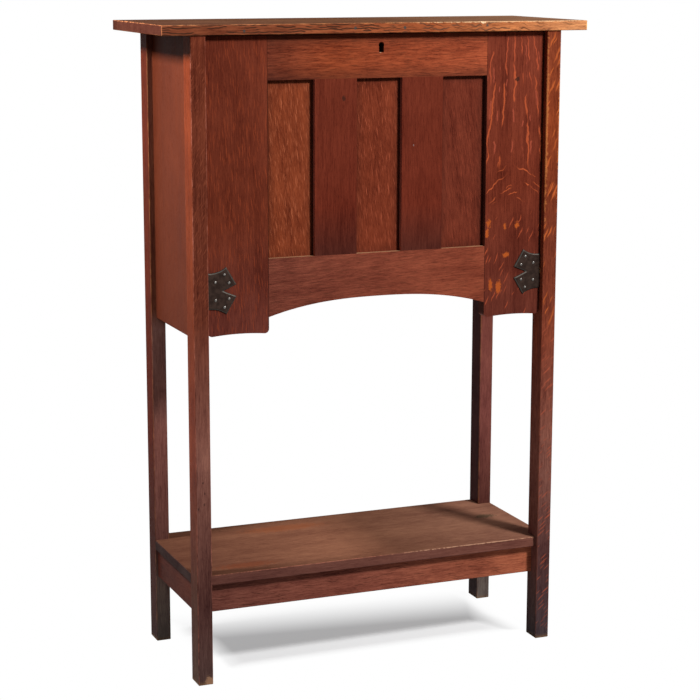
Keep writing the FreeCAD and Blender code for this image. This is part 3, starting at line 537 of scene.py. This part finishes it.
rail_line = dict(length=0.02, width=0.0011, cover=0.28, slant=0, sway=0.003, strength=0.6,
                 tone=colour(0.06, 0.02, 0.011))
top_rail_tones = [(-0.21, colour(0.162, 0.036, 0.018)), (-0.1, colour(0.245, 0.049, 0.018)),
                  (0.21, colour(0.31, 0.065, 0.027))]
key_scratch = ((0.0014, fall_face, 1.1468), (0.0024, 0.01, 0.002), colour(0.6, 0.36, 0.22), 0.8)
# Painted shade: the rail darkens towards its borders, under the top board and over the panels
finish_oak("fall_top_rail", X, Y, top_rail_tones, lines=0.75, bands=0.8, tilt=0.5,
           rays=[rail_line], spots=[key_scratch], border_shade=0.5)
bottom_rail_tones = [(-0.21, colour(0.187, 0.049, 0.03)), (0.0, colour(0.2, 0.0475, 0.0265)),
                     (0.21, colour(0.23, 0.052, 0.0265))]
# The upper face of the ledge below the panels is pale
pale_ledge_top = [(0.0, colour(0.38, 0.19, 0.1))]
finish_oak("fall_bottom_rail", X, Y, bottom_rail_tones, lines=0.55, tilt=3.0,
           rays=[rail_line], turned=[(upward, pale_ledge_top)])

muntin_tones = [(0.785, colour(0.074, 0.0178, 0.012)), (0.87, colour(0.129, 0.0216, 0.011)),
                (1.1, colour(0.131, 0.0236, 0.012))]
muntin_marks = {1: ((-0.07, fall_face, 1.0654), (0.004, 0.01, 0.006), colour(0.03, 0.014, 0.01), 0.7),
                2: ((0.068, fall_face, 0.978), (0.0016, 0.01, 0.0022), colour(0.24, 0.17, 0.16), 0.7)}
for k, mark in muntin_marks.items():
    finish_oak("fall_muntin_%d" % k, Z, Y, muntin_tones, lines=0.5, bands=0.65, spots=[mark],
               turned=[(leftward, wall_painted_light_tones)])

panel_tones = {1: colour(0.205, 0.042, 0.016), 2: colour(0.164, 0.031, 0.0135),
               3: colour(0.138, 0.027, 0.0142)}
fleck_tones = {1: colour(0.43, 0.115, 0.05), 2: colour(0.35, 0.079, 0.037), 3: colour(0.22, 0.043, 0.022)}
# Painted shade: each panel darkens towards its borders, in its recess
for k, panel_tone in panel_tones.items():
    strong_fleck = dict(length=0.019, width=0.0014, cover=0.15, slant=7, sway=0.005, strength=1.0,
                        tone=fleck_tones[k])
    faint_fleck = dict(length=0.013, width=0.0011, cover=0.26, slant=7, sway=0.004, strength=0.5,
                       tone=fleck_tones[k])
    finish_oak("fall_panel_%d" % k, Z, Y, [(0.95, panel_tone)], lines=0.55, tilt=-7.0,
               rays=[faint_fleck, strong_fleck], border_shade=0.4, seam=0.0135)


# Hinges
# Wrought-iron plates with a swallow-tailed edge, hammered, blackened and folded round the stile, each
# held by six nails with domed heads. They turn on steel pins in brass bushes that are let into the front
# posts.

def metal(name, bright, dull, roughness, mottle, rim=None, front=None):
    """Metal with cloudy tarnish: bright where it is rubbed and dull where it has darkened. Its rim, or
    the faces that look to the front, can have a tone of their own."""
    material = bpy.data.materials.new(name)
    material.use_nodes = True
    tree = material.node_tree
    shader = tree.nodes["Principled BSDF"]
    coords = wire(tree, "ShaderNodeTexCoord").outputs
    cloud = noise(tree, coords["Object"], scale=mottle, detail=5.0)
    tone = blend(tree, ease(tree, cloud, 0.35, 0.65), dull, bright)
    facing = split(tree, coords["Normal"])[Y]
    if rim:
        tone = blend(tree, ease(tree, calc(tree, "ABSOLUTE", facing), 0.99, 0.94), tone, rim)
    if front:
        tone = blend(tree, ease(tree, facing, -0.5, -0.9), tone, front)
    tree.links.new(tone, shader.inputs["Base Color"])
    rough = calc(tree, "MULTIPLY_ADD", cloud, 0.25, roughness - 0.12)
    tree.links.new(rough, shader.inputs["Roughness"])
    shader.inputs["Metallic"].default_value = 1.0
    bump = wire(tree, "ShaderNodeBump", {"Height": cloud, "Strength": 0.3, "Distance": 0.0006})
    tree.links.new(bump.outputs[0], shader.inputs["Normal"])
    return material


def apply_modifier(piece, kind, **settings):
    modifier = piece.modifiers.new("work", kind)
    for key, value in settings.items():
        setattr(modifier, key, value)
    bpy.ops.object.modifier_apply(modifier=modifier.name)


# The black iron's lighter rim on the plates' rounded edges is partly worn iron and partly painted
# highlight
black_iron = metal("black_iron", colour(0.038, 0.0236, 0.0184), colour(0.023, 0.0142, 0.0115),
                   roughness=0.55, mottle=130.0, rim=colour(0.05, 0.045, 0.039))
nail_iron = metal("nail_iron", colour(0.2, 0.185, 0.17), colour(0.07, 0.063, 0.056),
                  roughness=0.35, mottle=500.0)
steel = metal("steel", colour(0.4, 0.39, 0.38), colour(0.2, 0.19, 0.18), roughness=0.35, mottle=200.0)
bright_brass = colour(0.6, 0.42, 0.16)
dull_brass = colour(0.3, 0.19, 0.07)
brass = metal("brass", bright_brass, dull_brass, roughness=0.35, mottle=120.0)

# The plates keep the outline that was cut, with softened edges and the dents of the hammer
hammer_marks = bpy.data.textures.new("hammer_marks", "CLOUDS")
hammer_marks.noise_scale = 0.012
hammer_depth = 0.0005
plate_grain = 0.0008
for side in ("left", "right"):
    bpy.ops.object.select_all(action="DESELECT")
    plate = bpy.data.objects.new("iron_plate_" + side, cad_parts["hinge_plate_" + side].data.copy())
    bpy.context.scene.collection.objects.link(plate)
    bpy.context.view_layer.objects.active = plate
    plate.select_set(True)
    bpy.ops.object.mode_set(mode="EDIT")
    bpy.ops.mesh.select_all(action="SELECT")
    bpy.ops.mesh.remove_doubles(threshold=1e-6)
    bpy.ops.object.mode_set(mode="OBJECT")
    apply_modifier(plate, "REMESH", mode="VOXEL", voxel_size=plate_grain)
    apply_modifier(plate, "SMOOTH", factor=0.5, iterations=5)
    apply_modifier(plate, "DISPLACE", texture=hammer_marks, texture_coords="GLOBAL", strength=hammer_depth)
    bpy.ops.object.shade_smooth()
    plate.data.materials.clear()
    plate.data.materials.append(black_iron)
    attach(plate, "fall_front")
    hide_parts("hinge_plate_" + side)

# One nail is a flattened half ball on a short stub, and each copy of it is turned and struck differently
nail_reach_and_height = [(0.031, 0.0295), (0.014, 0.0163), (0.0396, 0.0143)]
head_radius = 0.003
head_height = 0.002
stub_share = 0.4
stub_length = 0.002
pivot_height = 0.731
plate_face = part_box("hinge_plate_left")[0].y
stile_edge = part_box("fall_stile_left")[0].x
bpy.ops.object.select_all(action="DESELECT")
bpy.ops.mesh.primitive_uv_sphere_add(segments=20, ring_count=12, radius=head_radius)
nail = bpy.context.object
bpy.ops.object.mode_set(mode="EDIT")
bpy.ops.mesh.select_all(action="SELECT")
bpy.ops.mesh.bisect(plane_co=(0.0, 0.0, 0.0), plane_no=(0.0, 1.0, 0.0), clear_outer=True)
bpy.ops.mesh.select_all(action="SELECT")
bpy.ops.transform.resize(value=(1.0, head_height / head_radius, 1.0), center_override=(0.0, 0.0, 0.0))
bpy.ops.mesh.select_all(action="DESELECT")
bpy.ops.mesh.select_non_manifold()
bpy.ops.mesh.extrude_region_move(TRANSFORM_OT_translate={"value": (0.0, 0.0, 0.0)})
bpy.ops.transform.resize(value=(stub_share, 1.0, stub_share), center_override=(0.0, 0.0, 0.0))
bpy.ops.mesh.extrude_region_move(TRANSFORM_OT_translate={"value": (0.0, stub_length, 0.0)})
bpy.ops.mesh.edge_face_add()
bpy.ops.mesh.select_all(action="SELECT")
bpy.ops.mesh.normals_make_consistent(inside=False)
bpy.ops.object.mode_set(mode="OBJECT")
bpy.ops.object.shade_smooth_by_angle(angle=math.radians(50.0))
hand = random.Random(4)
for side, sign in (("left", 1.0), ("right", -1.0)):
    nails = []
    for reach, height in nail_reach_and_height:
        for up in (1.0, -1.0):
            copy = bpy.data.objects.new("nail_" + side, nail.data.copy())
            bpy.context.scene.collection.objects.link(copy)
            copy.location = (sign * (stile_edge + reach), plate_face, pivot_height + up * height)
            copy.rotation_euler.y = hand.uniform(0.0, math.pi)
            copy.scale = (hand.uniform(0.9, 1.05), hand.uniform(0.85, 1.0), hand.uniform(0.9, 1.05))
            nails.append(copy)
    bpy.ops.object.select_all(action="DESELECT")
    for copy in nails:
        copy.select_set(True)
    bpy.context.view_layer.objects.active = nails[0]
    bpy.ops.object.transform_apply(location=True, rotation=True, scale=True)
    bpy.ops.object.join()
    nails[0].name = "domed_nails_" + side
    nails[0].data.materials.append(nail_iron)
    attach(nails[0], "fall_front")
    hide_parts("hinge_nails_" + side)
bpy.data.objects.remove(nail)
for side in ("left", "right"):
    dress("pivot_pin_" + side, steel)
    dress("pivot_bush_" + side, brass)
dress("cleat_screws", steel)


# Lock
# A brass lock let into the back of the top rail, with a bolt that the key lifts into the strike plate
# under the top board. The keyhole is cut through the rail without a plate, and the lock's case and the
# front of its plate behind the keyhole are near black, as painted shade in the hole.
# Painted shade: near black for what is seen of the lock inside the keyhole
keyhole_shade = colour(0.005, 0.004, 0.003)
keyhole_shade_brass = metal("keyhole_shade_brass", colour(0.01, 0.007, 0.004), keyhole_shade, roughness=0.8, mottle=120.0)
plate_brass = metal("plate_brass", bright_brass, dull_brass, roughness=0.35, mottle=120.0, front=keyhole_shade)
dress("lock_case", keyhole_shade_brass)
dress("lock_plate", plate_brass)
for node in ("lock_bolt", "strike_plate"):
    dress(node, brass)
for node in ("lock_screws", "strike_screws"):
    dress(node, steel)


# Studio
# A plain pale floor, which glows white to the camera and keeps the desk's shadow only in a patch under
# the desk, a soft main lamp in front on the right, one higher up there, one on the left and one behind,
# and the camera where the photograph was taken from.
bpy.ops.object.select_all(action="DESELECT")
bpy.ops.mesh.primitive_plane_add(size=40.0)
floor = bpy.context.object
floor.name = "floor"
floor_material = bpy.data.materials.new("floor_white")
floor_material.use_nodes = True
floor_tree = floor_material.node_tree


def seen_directly(tree):
    """1 for what the camera sees, straight or in metal or glass."""
    path = wire(tree, "ShaderNodeLightPath").outputs
    mirrored = calc(tree, "MAXIMUM", path["Is Glossy Ray"], path["Is Transmission Ray"])
    return calc(tree, "MAXIMUM", path["Is Camera Ray"], mirrored)


white = colour(1.0, 1.0, 1.0)
seen = seen_directly(floor_tree)
floor_tone = blend(floor_tree, seen, colour(0.3, 0.3, 0.3), white)
floor_axes = split(floor_tree, wire(floor_tree, "ShaderNodeTexCoord").outputs["Object"])

# Painted light: the floor glows white to the camera and so paints out its shadows, except in a patch
# under the desk, where the glow thins so that the shadow shows
patch_middle = 0.012
patch_sides = (0.21, 0.33)
patch_front = (-0.035, -0.095)
patch_rear = (-0.06, 0.24)
rear_slant = 0.13
faintest_glow = 0.3
off_middle = calc(floor_tree, "ABSOLUTE", calc(floor_tree, "SUBTRACT", floor_axes[X], patch_middle))
aside = ease(floor_tree, off_middle, *patch_sides)
in_front = ease(floor_tree, floor_axes[Y], *patch_front)
slanted = calc(floor_tree, "MULTIPLY_ADD", floor_axes[X], rear_slant, floor_axes[Y])
behind = ease(floor_tree, slanted, *patch_rear)
floor_glow = calc(floor_tree, "MAXIMUM", aside, calc(floor_tree, "MAXIMUM", in_front, behind))
floor_glow = calc(floor_tree, "MAXIMUM", floor_glow, faintest_glow)
floor_glow = calc(floor_tree, "MULTIPLY", floor_glow, seen)
floor_tree.nodes.remove(floor_tree.nodes["Principled BSDF"])
shaded = wire(floor_tree, "ShaderNodeBsdfDiffuse", {"Color": floor_tone}).outputs[0]
plain = wire(floor_tree, "ShaderNodeEmission").outputs[0]
mixed = wire(floor_tree, "ShaderNodeMixShader", {0: floor_glow, 1: shaded, 2: plain}).outputs[0]
floor_tree.links.new(mixed, floor_tree.nodes["Material Output"].inputs["Surface"])
floor.data.materials.append(floor_material)

world = bpy.data.worlds.new("studio")
world.use_nodes = True
bpy.context.scene.world = world
backdrop = world.node_tree.nodes["Background"]
ambient = colour(0.11, 0.115, 0.13)
backdrop_tone = blend(world.node_tree, seen_directly(world.node_tree), ambient, white)
world.node_tree.links.new(backdrop_tone, backdrop.inputs["Color"])


def soft_lamp(name, place, target, size, power, spread=180.0):
    lamp = bpy.data.lights.new(name, "AREA")
    lamp.size = size
    lamp.energy = power
    lamp.spread = math.radians(spread)
    holder = bpy.data.objects.new(name, lamp)
    bpy.context.scene.collection.objects.link(holder)
    holder.location = place
    holder.rotation_euler = (Vector(target) - Vector(place)).to_track_quat("-Z", "Y").to_euler()


soft_lamp("front_lamp", (1.27, -2.33, 2.65), (0.0, -0.13, 0.7), size=0.45, power=108.0)
soft_lamp("right_lamp", (1.05, -1.1, 2.3), (0.1, 0.0, 0.3), size=0.6, power=8.0)
soft_lamp("left_lamp", (-1.35, 0.0, 1.9), (-0.36, -0.08, 1.05), size=0.25, power=8.5, spread=70.0)
soft_lamp("rear_lamp", (0.3, 2.3, 1.5), (0.0, 0.15, 1.0), size=0.6, power=14.0)

camera_place = (-1.4115, -3.4423, 1.3192)
camera_heading = 22.286
camera_tilt = -11.302
camera_roll = 0.105
focal_pixels = 1978.6
picture_pixels = 700
camera = bpy.data.objects.new("camera", bpy.data.cameras.new("camera"))
bpy.context.scene.collection.objects.link(camera)
camera.data.lens = focal_pixels / picture_pixels * camera.data.sensor_width
camera.location = camera_place
aim = Euler((math.radians(90.0 + camera_tilt), 0.0, -math.radians(camera_heading))).to_matrix()
camera.rotation_euler = (aim @ Matrix.Rotation(math.radians(camera_roll), 3, "Z")).to_euler()
bpy.context.scene.camera = camera
bpy.context.scene.view_settings.view_transform = "Standard"
